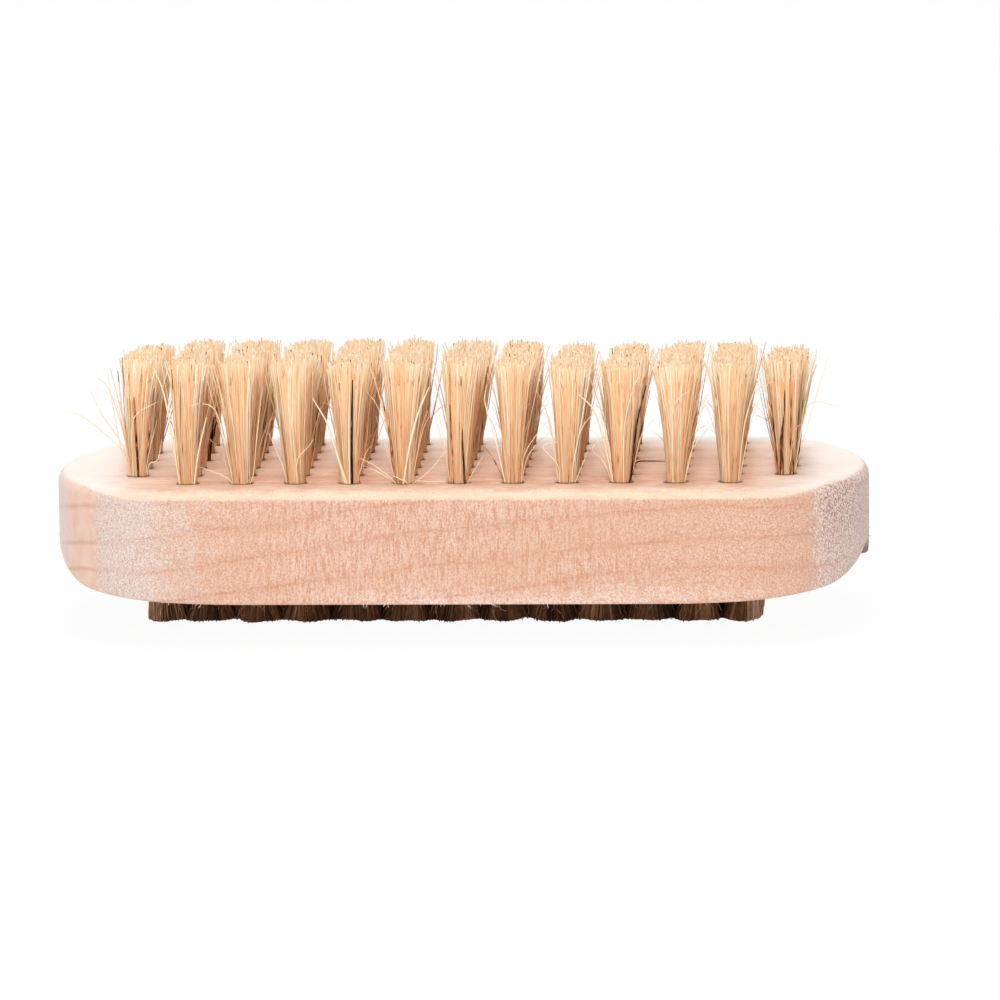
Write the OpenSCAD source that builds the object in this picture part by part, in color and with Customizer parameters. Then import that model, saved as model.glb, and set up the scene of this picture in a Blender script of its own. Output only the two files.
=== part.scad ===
// Two-sided nail brush: a drilled wooden block with long pale tufts above and short dark tufts below.
// The origin is under the middle of the block, on the plane that the short tufts stand on.
// +X runs along the block, +Y across it, +Z up. All lengths are in millimetres.

/* [Wooden block] */
// Length of the block
block_len = 93; // [88:1:110]
// Width of the block
block_w = 39.5; // [37:0.5:46]
// Thickness of the block
block_t = 13; // [12.5:0.5:20]
// Radius of the broad arc of each end, in plan
end_r = 26; // [24:1:40]
// Radius of the four corners, in plan
corner_r = 12; // [6:0.5:14]
// Radius of the rounded rim of the upper face
rim_r = 1.5; // [0.5:0.1:2.5]
// Radius of the long gentle rise of the underside towards each end
rise_r = 150; // [100:5:300]
// Length of the flat middle of the underside
flat_len = 47; // [30:1:60]
// Radius of the turn from the underside into each end wall
heel_r = 5.5; // [3:0.5:6]

/* [Upper tufts] */
// Columns of tufts along the block
upper_cols = 13; // [5:1:13]
// Distance between two columns
upper_pitch_x = 6.15; // [5.6:0.05:6.4]
// Distance between two rows
upper_pitch_y = 5.5; // [5.3:0.05:5.8]
// Offset of the whole field along the block
upper_shift = 0.35; // [-1:0.05:1]
// Diameter of the drilled holes
upper_hole_d = 2.3; // [2:0.05:2.6]
// Depth of the drilled holes
upper_hole_depth = 6; // [4:0.25:6.5]
// Free length of the bristles in the first row
upper_len = 13.75; // [8:0.25:25]
// How much lower the bristles are trimmed in the last row
trim_drop = 1.75; // [0:0.25:3]
// Radius of a tuft at its trimmed end
upper_flare_r = 2.45; // [1.8:0.05:2.5]

/* [Underside tufts] */
// Columns of tufts along the underside
under_cols = 13; // [5:1:13]
// Distance between two columns
under_pitch_x = 5.6; // [5.2:0.05:5.8]
// Distance between the two rows
under_pitch_y = 5.5; // [5.2:0.05:7]
// Offset of the strip along the block
under_shift = -0.95; // [-2:0.05:2]
// Diameter of the drilled holes
under_hole_d = 3; // [2.6:0.05:3.2]
// Depth of the drilled holes
under_hole_depth = 4.5; // [4:0.25:5]
// Free length of the bristles, from the flat of the underside
under_len = 4.6; // [3:0.1:10]
// Radius of a tuft at its trimmed end
under_flare_r = 2.4; // [2:0.05:2.5]

/* [Anchors] */
// Height of the flat wire anchors
anchor_h = 1.6; // [1.2:0.1:2]
// Thickness of the flat wire anchors
anchor_t = 0.35; // [0.25:0.05:0.45]
// Thickness of the fold of bristles under an anchor
fold_t = 0.7; // [0.4:0.1:1]

/* [Hidden] */
// Clearance all round a piece that is seated in another one
seat_gap = 0.05;
// Overrun of the cuts
over = 1;
// How far the circle of the heel reaches past the end wall, so that the two meet at a clear angle
heel_reach = 0.2;
// How deep the strands are set into the root of their tuft
strand_seat = 0.6;
// Largest difference in length between two strands of one row
trim_scatter = 0.18;

// Heights
under_z = under_len;
top_z = under_z + block_t;

// Plan of the block: centres and tangent angles of its arcs
end_cx = block_len / 2 - end_r;
corner_cy = block_w / 2 - corner_r;
corner_cx = end_cx + sqrt(pow(end_r - corner_r, 2) - pow(corner_cy, 2));
tangent_a = atan2(corner_cy, corner_cx - end_cx);

// Side view of the underside: the rise starts at flat_len / 2 and runs into the heel
heel_cx = block_len / 2 + heel_reach - heel_r;
rise_x = flat_len / 2;
rise_cz = under_z + rise_r;
heel_cz = rise_cz - sqrt(pow(rise_r - heel_r, 2) - pow(heel_cx - rise_x, 2));
heel_a = asin((heel_cx - rise_x) / (rise_r - heel_r));

// Steps of the arcs
end_steps = 12;
corner_steps = 10;
rim_steps = 4;
rise_steps = 4;
heel_steps = 8;

// Rows of the upper field, from the front to the back
upper_rows = 6;
under_rows = 2;

// Strands of a tuft: one in the middle and a ring around it. Roots are six-sided, strands four-sided.
ring_strands = 4;
root_sides = 6;
strand_sides = 4;

// Shares of the radii on which the strands stand, and of the radii of the strands themselves
base_ring_share = 0.56;
base_strand_share = 0.34;
tip_ring_share = 0.68;
tip_strand_share = 0.41;
lean_share = 0.06;

// Places of the tufts

function upper_y(row) = (row - (upper_rows + 1) / 2) * upper_pitch_y;
function under_y(row) = (row - (under_rows + 1) / 2) * under_pitch_y;
// The first and the last row leave out their end columns, where the block's corners are
function upper_skip(row) = row == 1 || row == upper_rows ? 1 : 0;
function upper_xs(row) = [for (i = [upper_skip(row) : upper_cols - 1 - upper_skip(row)])
    upper_shift + (i - (upper_cols - 1) / 2) * upper_pitch_x];
function under_xs() = [for (i = [0 : under_cols - 1])
    under_shift + (i - (under_cols - 1) / 2) * under_pitch_x];
function upper_free(row) = upper_len - trim_drop * (row - 1) / (upper_rows - 1);
// How much higher than its flat the underside lies at a place along the block
function rise(x) = let (past = max(0, abs(x) - rise_x)) rise_r - sqrt(pow(rise_r, 2) - pow(past, 2));

// Wooden block

function arc(cx, cy, r, a0, a1, steps, first = 0, left_out = 0) = [for (i = [first : steps - left_out])
    let (a = a0 + (a1 - a0) * i / steps) [cx + r * cos(a), cy + r * sin(a)]];

// Outline of the block in plan, drawn in by the same distance all round. Each corner arc leaves out
// the point that it shares with an end arc.
function plan(inset) = let (e = end_r - inset, c = corner_r - inset, t = tangent_a) concat(
    arc(end_cx, 0, e, -t, t, end_steps),
    arc(corner_cx, corner_cy, c, t, 90, corner_steps, first = 1),
    arc(-corner_cx, corner_cy, c, 90, 180 - t, corner_steps, left_out = 1),
    arc(-end_cx, 0, e, 180 - t, 180 + t, end_steps),
    arc(-corner_cx, -corner_cy, c, 180 + t, 270, corner_steps, first = 1),
    arc(corner_cx, -corner_cy, c, 270, 360 - t, corner_steps, left_out = 1));

// The block before its underside is shaped: straight walls and a rounded upper rim
module rimmed_body() {
    levels = concat([[0, under_z - over]],
        [for (i = [0 : rim_steps]) let (a = 90 * i / rim_steps)
            [rim_r * (1 - cos(a)), top_z - rim_r * (1 - sin(a))]]);
    n = len(plan(0));
    rings = [for (l = levels) for (p = plan(l[0])) [p[0], p[1], l[1]]];
    last = len(levels) - 1;
    polyhedron(rings, concat(
        [[for (i = [0 : n - 1]) i]],
        [for (k = [0 : last - 1]) for (i = [0 : n - 1])
            [k * n + i, (k + 1) * n + i, (k + 1) * n + (i + 1) % n, k * n + (i + 1) % n]],
        [[for (i = [n - 1 : -1 : 0]) last * n + i]]), convexity = 4);
}

// Side view of the block below its upper face
module side_view() {
    right = concat(
        [for (i = [0 : rise_steps - 1]) let (a = heel_a * i / rise_steps)
            [rise_x + rise_r * sin(a), rise_cz - rise_r * cos(a)]],
        [for (i = [0 : heel_steps]) let (a = heel_a + (90 - heel_a) * i / heel_steps)
            [heel_cx + heel_r * sin(a), heel_cz - heel_r * cos(a)]],
        [[block_len / 2 + heel_reach, top_z + over]]);
    polygon(concat(right, [for (i = [len(right) - 1 : -1 : 0]) [-right[i][0], right[i][1]]]));
}

module upper_holes() {
    for (row = [1 : upper_rows], x = upper_xs(row))
        translate([x, upper_y(row), top_z - upper_hole_depth])
            cylinder(d = upper_hole_d, h = upper_hole_depth + over, $fn = 16);
}

module under_holes() {
    for (row = [1 : under_rows], x = under_xs())
        translate([x, under_y(row), under_z - over])
            cylinder(d = under_hole_d, h = under_hole_depth + over, $fn = 16);
}

module wood_block() {
    color("burlywood") difference() {
        intersection() {
            rimmed_body();
            rotate([90, 0, 0])
                linear_extrude(height = block_w + 2 * over, center = true) side_view();
        }
        upper_holes();
        under_holes();
    }
}

// Tufts

// A number from -1 to 1 that belongs to a tuft and a purpose
function scatter(seed, use) = rands(-1, 1, 1, seed * 31 + use * 7)[0];

// One strand of triangles, from a small square low in the tuft to a wider one at the trimmed end
module strand(base, base_r, tip, tip_r, turn) {
    n = strand_sides;
    around = [for (i = [0 : n - 1]) let (a = turn + 360 * i / n) [cos(a), sin(a), 0]];
    polyhedron(concat([for (u = around) base + base_r * u], [for (u = around) tip + tip_r * u]), concat(
        [for (i = [1 : n - 2]) [0, i, i + 1]],
        [for (i = [1 : n - 2]) [n, n + i + 1, n + i]],
        [for (i = [0 : n - 1]) [i, n + i, n + (i + 1) % n]],
        [for (i = [0 : n - 1]) [i, n + (i + 1) % n, (i + 1) % n]]));
}

// The strands of one tuft, rising from the mouth of its hole at z = 0 to the free length.
// The last one stands in the middle.
module strands(hole_r, flare_r, free, uneven, seed) {
    around = 180 * scatter(seed, 1);
    lean = lean_share * flare_r * [scatter(seed, 2), scatter(seed, 3), 0];
    for (i = [0 : ring_strands]) {
        a = around + 360 * i / ring_strands;
        out = i < ring_strands ? [cos(a), sin(a), 0] : [0, 0, 0];
        tip_z = free - uneven * (1 + scatter(seed, 4 + i)) / 2;
        strand(out * hole_r * base_ring_share - [0, 0, strand_seat], hole_r * base_strand_share,
               out * flare_r * tip_ring_share + lean + [0, 0, tip_z], flare_r * tip_strand_share,
               a + 180 / strand_sides);
    }
}

// The root of a tuft fills its hole up to the mouth. The bristles are folded round the anchor,
// which lies in a slot across the root.
module root(hole_r, depth) {
    r = hole_r - seat_gap;
    translate([0, 0, seat_gap - depth]) difference() {
        cylinder(r = r, h = depth - seat_gap, $fn = root_sides);
        translate([-r - over, -anchor_t / 2 - seat_gap, fold_t])
            cube([2 * (r + over), anchor_t + 2 * seat_gap, anchor_h + 2 * seat_gap]);
    }
}

module upper_row(row) {
    xs = upper_xs(row);
    color("wheat") for (i = [0 : len(xs) - 1])
        translate([xs[i], upper_y(row), top_z]) {
            root(upper_hole_d / 2, upper_hole_depth);
            strands(upper_hole_d / 2, upper_flare_r, upper_free(row), trim_scatter, row * 20 + i);
        }
}

// The mouth of an underside hole follows the rise of the wood, and every strand ends on the same plane
module under_row(row) {
    xs = under_xs();
    color("saddlebrown") for (i = [0 : len(xs) - 1])
        translate([xs[i], under_y(row), under_z + rise(xs[i])]) mirror([0, 0, 1]) {
            root(under_hole_d / 2, under_hole_depth - rise(xs[i]));
            strands(under_hole_d / 2, under_flare_r, under_len + rise(xs[i]), 0, 200 + row * 20 + i);
        }
}

// Anchors

// One anchor across a hole whose mouth is at z = 0, seated in the slot of the root
module anchor(hole_d, depth) {
    translate([-hole_d / 2 + seat_gap, -anchor_t / 2, 2 * seat_gap + fold_t - depth])
        cube([hole_d - 2 * seat_gap, anchor_t, anchor_h]);
}

module upper_anchors(row) {
    color("silver") for (x = upper_xs(row))
        translate([x, upper_y(row), top_z]) anchor(upper_hole_d, upper_hole_depth);
}

module under_anchors(row) {
    color("silver") for (x = under_xs())
        translate([x, under_y(row), under_z + rise(x)]) mirror([0, 0, 1])
            anchor(under_hole_d, under_hole_depth - rise(x));
}

wood_block();
upper_row(1);  // upper_row_1
upper_row(2);  // upper_row_2
upper_row(3);  // upper_row_3
upper_row(4);  // upper_row_4
upper_row(5);  // upper_row_5
upper_row(6);  // upper_row_6
under_row(1);  // under_row_1
under_row(2);  // under_row_2
upper_anchors(1);  // upper_anchors_1
upper_anchors(2);  // upper_anchors_2
upper_anchors(3);  // upper_anchors_3
upper_anchors(4);  // upper_anchors_4
upper_anchors(5);  // upper_anchors_5
upper_anchors(6);  // upper_anchors_6
under_anchors(1);  // under_anchors_1
under_anchors(2);  // under_anchors_2
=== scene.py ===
"""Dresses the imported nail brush: a beech block, pale tufts above it, dark tufts below, and loose hairs.

Lengths of the brush are millimetres in the CAD frame until a mesh is made, and those of the floor,
the lamps and the camera are metres. +X runs along the block, -Y is the side that the camera sees and
+Z is up. The tufts are counted by row, from 1 in front, and by column, from 0 on the left.
"""
import math

import bmesh
import bpy
import numpy as np
from mathutils import Matrix, Vector
from mathutils.geometry import delaunay_2d_cdt

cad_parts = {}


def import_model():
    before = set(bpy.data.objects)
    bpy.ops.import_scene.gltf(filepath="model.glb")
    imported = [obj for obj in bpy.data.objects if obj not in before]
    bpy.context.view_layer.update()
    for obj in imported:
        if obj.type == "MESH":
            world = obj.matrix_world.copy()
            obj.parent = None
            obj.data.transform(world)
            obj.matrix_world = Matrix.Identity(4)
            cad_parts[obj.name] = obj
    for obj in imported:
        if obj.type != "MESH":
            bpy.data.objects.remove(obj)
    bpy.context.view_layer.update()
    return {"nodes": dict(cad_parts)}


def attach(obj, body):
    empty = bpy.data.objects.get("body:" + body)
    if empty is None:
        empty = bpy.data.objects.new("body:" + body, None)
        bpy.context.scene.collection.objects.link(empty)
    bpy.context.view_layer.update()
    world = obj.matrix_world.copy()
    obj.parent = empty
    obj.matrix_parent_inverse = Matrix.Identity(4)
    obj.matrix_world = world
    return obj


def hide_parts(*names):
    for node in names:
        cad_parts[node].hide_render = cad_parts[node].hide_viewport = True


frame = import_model()

MM = 0.001
ROOT = "root"
random = np.random.default_rng(41)

# Block, as in the CAD model
BLOCK_LEN, BLOCK_W, BLOCK_T = 93.0, 39.5, 13.0
END_R, CORNER_R, RIM_R = 26.0, 12.0, 1.5
RISE_R, FLAT_LEN, HEEL_R, HEEL_REACH = 150.0, 47.0, 5.5, 0.2
UNDER_LEN = 4.6
TOP_Z = UNDER_LEN + BLOCK_T
SOFT_EDGE, FLAT_RIM, CHAMFER = 0.3, 0.3, 0.06  # lower edge, inside the rim, mouths of the holes
SHARP_ANGLE = math.radians(38)

# Upper tufts
COLUMNS, ROWS = 13, 6
PITCH_X, PITCH_Y, SHIFT = 6.15, 5.5, 0.35
HOLE_R, HOLE_DEPTH = 1.25, 6.0
UPPER_LEN, TRIM_DROP = 13.75, 1.75
FLARE_R, BACK_FLARE_R = 2.3, 2.15  # of the first two rows and of the others
UPPER_FIBRES, UPPER_THICK = 260, (0.05, 0.086)  # in a tuft, and the range of their radii
STRAYS = 3.2  # thin strays beside a tuft, on average

# Underside tufts
UNDER_ROWS, UNDER_PITCH_X, UNDER_PITCH_Y = 2, 5.6, 5.5
UNDER_SHIFT = -0.95
UNDER_HOLE_R, UNDER_DEPTH = 1.55, 4.5
UNDER_FLARE_R = 3.3
UNDER_FIBRES, UNDER_THICK = 340, (0.065, 0.105)
UNDER_AROUND = 60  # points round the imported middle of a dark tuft

# Anchors, which stay as CAD nodes inside the roots of the tufts
ANCHOR_T, FOLD_T = 0.35, 0.7


# Materials

GAMMA = 2.2
WALL_LEVEL = (0.88, 0.885, 0.89, 1.0)  # the walls are a little duller than the upper face
END_LINES = (15.3, 11.1, 8.1)  # heights of the three ring lines on the smooth end


def shade(colour):
    """A screen's colour, in six hexadecimal digits, as the linear value that a shader takes."""
    return tuple((int(colour[i:i + 2], 16) / 255) ** GAMMA for i in (0, 2, 4)) + (1.0,)


def operator(operation):
    return lambda value, *other: value.graph.math(operation, value, *other)


class Value:
    """A number in a node tree, so that sums and products of such numbers can be written plainly."""

    __add__, __sub__, __mul__ = operator("ADD"), operator("SUBTRACT"), operator("MULTIPLY")
    __truediv__, __gt__, __abs__ = operator("DIVIDE"), operator("GREATER_THAN"), operator("ABSOLUTE")

    def __init__(self, graph, socket):
        self.graph, self.socket = graph, socket


class Graph:
    """A node tree, with short calls for the kinds of node that repeat."""

    def __init__(self, tree):
        self.tree = tree

    def put(self, socket, value):
        """Links a socket to a value or an output, or sets it to a plain number or colour."""
        value = getattr(value, "socket", value)
        if isinstance(value, bpy.types.NodeSocket):
            self.tree.links.new(value, socket)
        else:
            socket.default_value = value

    def node(self, kind, inputs=None, **settings):
        made = self.tree.nodes.new("ShaderNode" + kind)
        for key, value in settings.items():
            setattr(made, key, value)
        for key, value in (inputs or {}).items():
            self.put(made.inputs[key], value)
        return made

    def value(self, kind, inputs, output=0, **settings):
        return Value(self, self.node(kind, inputs, **settings).outputs[output])

    def math(self, operation, *inputs):
        return self.value("Math", dict(enumerate(inputs)), operation=operation)

    def stretch(self, vector, scale):
        return self.node("VectorMath", {0: vector, 1: scale}, operation="MULTIPLY").outputs[0]

    def noise(self, vector, scale, detail=2.0, roughness=0.5):
        """Noise at a scale that is one number, or one for each axis."""
        if isinstance(scale, tuple):
            vector, scale = self.stretch(vector, scale), 1.0
        inputs = {"Vector": vector, "Scale": scale, "Detail": detail, "Roughness": roughness}
        return self.value("TexNoise", inputs, "Fac")

    def ramp(self, value, low, high, to_low=0.0, to_high=1.0):
        """A change from one end to the other, which falls where low is above high."""
        ends = {"From Min": low, "From Max": high, "To Min": to_low, "To Max": to_high}
        return self.value("MapRange", {"Value": value, **ends}, clamp=True)

    def mix(self, factor, a, b, blend="MIX"):
        made = self.node("Mix", {0: factor, 6: a, 7: b}, data_type="RGBA", blend_type=blend)
        return made.outputs[2]

    def speckled(self, field, low, high, one, other):
        """One colour where a field of noise is low and another where it is high."""
        return self.mix(self.ramp(field, low, high), shade(one), shade(other))

    def layered(self, colour, *layers):
        """A colour with others over it, each given by where it lies, how strong it is and its shade."""
        for where, share, other in layers:
            colour = self.mix(where * share, colour, shade(other))
        return colour

    def split(self, vector):
        return [Value(self, part) for part in self.node("SeparateXYZ", {0: vector}).outputs]

    def millimetres(self):
        return self.stretch(self.node("TexCoord").outputs["Object"], (1 / MM,) * 3)

    def seen(self):
        """1 for what the camera sees, also in gloss or through glass, and 0 for other light."""
        rays = self.node("LightPath").outputs
        direct = self.math("MAXIMUM", rays["Is Camera Ray"], rays["Is Glossy Ray"])
        return self.math("MAXIMUM", direct, rays["Is Transmission Ray"])


class Material(Graph):
    """The node tree of a material with one Principled shader."""

    def __init__(self, name, inputs):
        self.material = bpy.data.materials.new(name)
        self.material.use_nodes = True
        super().__init__(self.material.node_tree)
        self.shader = self.tree.nodes["Principled BSDF"]
        self.set(inputs)

    def set(self, inputs):
        for name, value in inputs.items():
            self.put(self.shader.inputs[name], value)

    def bump(self, height, strength, distance):
        inputs = {"Height": height, "Strength": strength, "Distance": distance * MM}
        self.set({"Normal": self.node("Bump", inputs).outputs[0]})


def beech():
    g = Material("beech", {"Specular IOR Level": 0.3})
    mix, ramp, noise, layered, speckled = g.mix, g.ramp, g.noise, g.layered, g.speckled
    place = g.millimetres()
    x, y, z = g.split(place)
    far_x, far_y = abs(x), abs(y)

    def between(value, low, high, soft):
        """1 inside a range and 0 outside it, with soft ends."""
        return ramp(value, low - soft, low + soft) * ramp(value, high + soft, high - soft)

    # Fields of noise, from broad patches down to the speckle of cut fibres
    patches = noise(place, (0.06, 0.12, 0.16), 3)
    mottle = noise(place, 0.7)
    grain = noise(place, 5.6, 3, 0.75)
    salt = noise(place, (7, 7, 5), 1)
    hatch = noise(place, (5.6, 5.6, 0.8), 2, 0.6)
    fibre = noise(place, (0.3, 3.4, 3.4), 3, 0.6)
    dash = noise(place, (0.9, 4.2, 4.2), 2, 0.6)
    comb = noise(place, (0.22, 0.8, 0.8), 4, 0.7)
    slant = g.node("VectorRotate", {"Vector": place, "Angle": -0.75}, rotation_type="Y_AXIS")
    slant = noise(slant.outputs[0], (2.2, 4.4, 6.4), 2, 0.7)
    edge_x = x + ramp(noise(place, 0.9, 4, 0.75), 0.25, 0.75, -1.1, 1.1)

    # The upper face begins where the rounded rim turns up, and a little later at the two ends
    facing = g.split(g.node("NewGeometry").outputs["Normal"])
    rise = facing[2] + ramp(grain, 0.3, 0.7, -0.1, 0.1)
    top = ramp(rise - ramp(far_x, 37, 42, 0, 0.45), 0.2, 0.4)

    # Growth rings: long arches along the block, dotted where they are cut
    bend = (x - 29) * 0.14
    bend = g.math("SQRT", bend * bend + 3)
    ring = z + bend + y * y / 300 + ramp(patches, 0.2, 0.8, -0.8, 0.8)
    ring = g.math("PINGPONG", ring - 18.8, 1.8) + ramp(grain, 0.3, 0.7, -0.12, 0.12)
    ring_line = ramp(ring, 0.24, 0.03) * ramp(dash, 0.44, 0.56, 0.3, 1)
    ring_line *= ramp(noise(place, (0.1, 0.3, 0.5)), 0.4, 0.6, 0.2, 1)

    # Side walls between the corners
    middle = between(x, -24, 22, 7)
    side = layered(
        speckled(grain, 0.38, 0.62, "e0a383", "fbd5bc"),
        (ramp(salt, 0.58, 0.68), 0.55, "ffece0"),
        (ramp(salt, 0.42, 0.32), 0.4, "d89678"),
        (middle * ramp(hatch, 0.5, 0.68), 0.5, "ffe2d2"),
        (middle * ramp(hatch, 0.48, 0.34), 0.6, "dc9472"),
        (ramp(dash, 0.48, 0.3) * ramp(x, 8, 24), 0.4, "da9e82"),
        (ramp(patches, 0.45, 0.7), 0.35, "eaae8c"),
        (ramp(ring, 1.1, 0.1), 0.22, "e09e7e"))

    # The left corner, where the fibres are cut across, and the smooth end past it
    torn = layered(
        speckled(grain, 0.36, 0.64, "d0ac9f", "fff0e8"),
        (ramp(salt, 0.56, 0.66), 0.7, "fff8f4"))
    corner = ramp(x + ramp(mottle, 0.25, 0.75, -3, 3), -27, -36)
    side = mix(corner * ramp(edge_x, -41.2, -40.4) * 0.85, side, torn)
    smooth_end = layered(
        speckled(mottle, 0.3, 0.7, "fcc4a6", "ffd8c4"),
        (ramp(grain, 0.38, 0.62), 0.45, "ffece2"))
    side = mix(ramp(edge_x, -40, -41.6), side, smooth_end)
    # Partly pale end grain and partly painted sheen and light: the far left end is paler where it turns
    # away from the lamps
    pale = speckled(grain, 0.38, 0.62, "f8e0d8", "fffafa")
    side = mix(ramp(x, -46, -43.6, 0.8, 0), side, pale)

    # The right end, torn in slanting strokes behind a pale ridge
    ragged = layered(
        speckled(grain, 0.4, 0.6, "e8c0ae", "ffe4d8"),
        (ramp(mottle, 0.5, 0.7), 0.5, "f0c0a8"),
        (ramp(slant, 0.5, 0.42) * ramp(z, 9, 15, 0.5, 1), 0.95, "aa786a"),
        (ramp(slant, 0.53, 0.6), 0.7, "fffaf8"))
    side = mix(ramp(edge_x, 39.6, 42), side, ragged)
    # Partly pale end grain and partly painted sheen: a lilac tint at the far right end
    side = layered(side, (ramp(x, 44.4, 46), 0.35, "f6dadc"))
    side = mix(1.0, side, WALL_LEVEL, blend="MULTIPLY")
    ridge = between(edge_x, 40.9, 41.4, 0.25) * ramp(slant, 0.46, 0.56, 0.1, 1)

    # Pale torn fibres along the lower edge, and painted shade low on the far right corner, where the heel
    # faces down and away from the lamps
    low = ramp(z + ramp(mottle, 0.25, 0.75, -1.2, 1.2), 7, 4.6) * ramp(grain, 0.35, 0.6)
    heel_shade = ramp(z, 9.8, 7.4) * between(y, 1, 6, 1) * ramp(x, 43, 45)
    side = layered(
        side,
        (ridge, 0.7, "faece6"),
        (low * between(x, -12, 36, 8), 0.6, "fff2ec"),
        (heel_shade, 0.85, "785c4e"))

    # Upper face: a clean margin, and a pinker field combed into fine raised fibres
    margin = layered(
        speckled(comb, 0.43, 0.57, "f0d2ba", "e2b69c"),
        (ramp(fibre, 0.45, 0.62), 0.4, "f6dac6"),
        (ramp(mottle, 0.48, 0.64), 0.4, "e6b49a"),
        # Painted reflection: the margin pales towards the back, as the white backdrop would show in it
        (ramp(y, -2, 15), 0.75, "fff0e6"))
    field = layered(
        speckled(comb, 0.42, 0.58, "ffdabe", "eea682"),
        (ramp(fibre, 0.45, 0.62), 0.35, "ffe8d8"),
        (ramp(dash, 0.46, 0.34), 0.5, "d68c70"),
        # Painted light: the field grows lighter from the first rows backwards and towards the two ends,
        # standing in for light between the tufts
        (ramp(y, -11.5, -4), 0.65, "ffe2ca"),
        (ramp(y, 2, 14), 0.75, "ffeee2"),
        (ramp(far_x, 22, 34), 0.45, "ffdec8"))
    aside = far_y + ramp(mottle, 0.25, 0.75, -0.8, 0.8)
    along = far_x + ramp(mottle, 0.25, 0.75, -1.5, 1.5)
    planted = ramp(aside, 15.6, 13.4) * ramp(along, 41, 37)

    # Rims of the upper holes: a pale lip, and short dark marks along the grain that are partly cracks and
    # partly painted shade in the mouths of the holes
    holed = planted - (far_y > 2 * PITCH_Y) * (abs(x - SHIFT) > 5.5 * PITCH_X)
    u = g.math("WRAP", x - SHIFT, PITCH_X / 2, -PITCH_X / 2)
    v = g.math("WRAP", y, PITCH_Y, 0.0) - PITCH_Y / 2
    torn_rim = g.math("SQRT", u * u + v * v) - ramp(dash, 0.3, 0.7, -0.1, 0.5)
    cracks_and_shade = holed * ramp(torn_rim, 1.26, 1.1) * ramp(y, -12.5, -10, 1, 0.3)
    face = layered(
        mix(planted, margin, field),
        (ramp(salt, 0.54, 0.68), 0.4, "fff6ec"),
        (ramp(salt, 0.45, 0.32), 0.4, "dc987a"),
        # Painted reflection and light: the upper face whitens at the back edge and at both ends
        (ramp(y, 13, 18), 0.85, "fffaf6"),
        (ramp(far_x, 33, 41), 0.75, "fff6f1"),
        (holed * between(torn_rim, 1.25, 1.6, 0.15), 0.5, "ffecdc"),
        # Dark marks at the hole rims, partly cracks and partly painted shade
        (cracks_and_shade, 0.75, "82543e"))
    # A painted highlight: a cream band along the rounded rim, fainter at the two ends
    lip = between(rise, 0.36, 0.82, 0.1) * ramp(far_x, 36, 42, 1, 0.15)
    colour = layered(mix(top, side, face), (lip, 0.6, "f0d4b8"))

    # Ring lines show most on the smooth end, where three of them are close
    lines = ring_line * ramp(x, -40, -36, 0, 0.6)
    tilted = z + (y + 16) * 0.165 + ramp(patches, 0.2, 0.8, -0.3, 0.3)
    fade = ramp(x, -45.6, -44, 0.25, 1) * ramp(grain, 0.35, 0.6, 0.4, 1)
    fade *= ramp(edge_x, -41.2, -40.4, 0.6, 0.2) * ramp(x, -30, -40)
    for height in END_LINES:
        lines = g.math("MAXIMUM", lines, fade * ramp(abs(tilted - height), 0, 0.4, 0.9, 0))
    lines *= ramp(top, 0.1, 0.6, 1, 0.3)
    g.set({"Base Color": mix(lines, colour, shade("cc886a")),
           "Roughness": ramp(grain, 0.3, 0.7, 0.5, 0.74) - top * 0.12})
    g.bump(grain * 0.7 + dash * 0.5 + comb * top - lines * 0.2, 0.4, 0.12)
    return g.material


def torn_fibre():
    g = Material("torn_fibre", {"Roughness": 0.7, "Specular IOR Level": 0.15})
    place = g.millimetres()
    patchy = g.speckled(g.noise(place, 2.0), 0.35, 0.65, "ecccba", "fff0e8")
    g.set({"Base Color": patchy})
    g.bump(g.noise(place, (4, 4, 1)), 0.3, 0.02)
    return g.material


def bristle(name, stops, root_shade, mouth_z):
    """Fibres whose tone comes from the mesh, with streaks, painted shade in the gaps between them,
    painted shade darkening the root part and painted shade where they enter the wood.
    """
    g = Material(name, {"Specular IOR Level": 0.12})
    place = g.millimetres()
    tone, along = (g.value("Attribute", {}, "Fac", attribute_name=label) for label in ("tone", "along"))
    streak = g.noise(place, (4.2, 4.2, 0.28))
    # Painted shade: dark streaks between fibres, stronger towards the root
    gap = g.ramp(streak, 0.44, 0.3, 0, 0.3) * g.math("SUBTRACT", 1.15, along)
    tone = tone + g.ramp(streak, 0.4, 0.7, -0.03, 0.12) - gap
    ramp = g.node("ValToRGB", {0: tone})
    steps = ramp.color_ramp.elements
    while len(steps) < len(stops):
        steps.new(0.5)
    for step, (at, colour) in zip(steps, stops):
        step.position = at
        step.color = shade(colour)
    # Painted shade: the lower part of the fibres is darkened
    colour = g.mix(g.ramp(along, 0.6, 0), ramp.outputs[0], root_shade, blend="MULTIPLY")
    # Painted shade where the fibres enter the wood
    depth = abs(g.split(place)[2] - mouth_z) / g.ramp(g.noise(place, 3.0), 0.3, 0.7, 0.05, 0.25)
    colour = g.mix(g.ramp(depth, 0.3, 1, 0.6, 0), colour, shade("6e4a34"))
    g.set({"Base Color": colour, "Roughness": g.ramp(streak, 0.3, 0.7, 0.45, 0.67)})
    g.bump(streak, 0.3, 0.03)
    return g.material


def wire():
    g = Material("anchor_wire", {"Metallic": 1.0})
    drawn = g.noise(g.millimetres(), (0.6, 12, 12), 3)
    g.set({"Base Color": g.mix(drawn, shade("b2b0aa"), shade("d6d4ce")),
           "Roughness": g.ramp(drawn, 0.3, 0.7, 0.25, 0.45)})
    g.bump(drawn, 0.3, 0.02)
    return g.material


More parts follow.
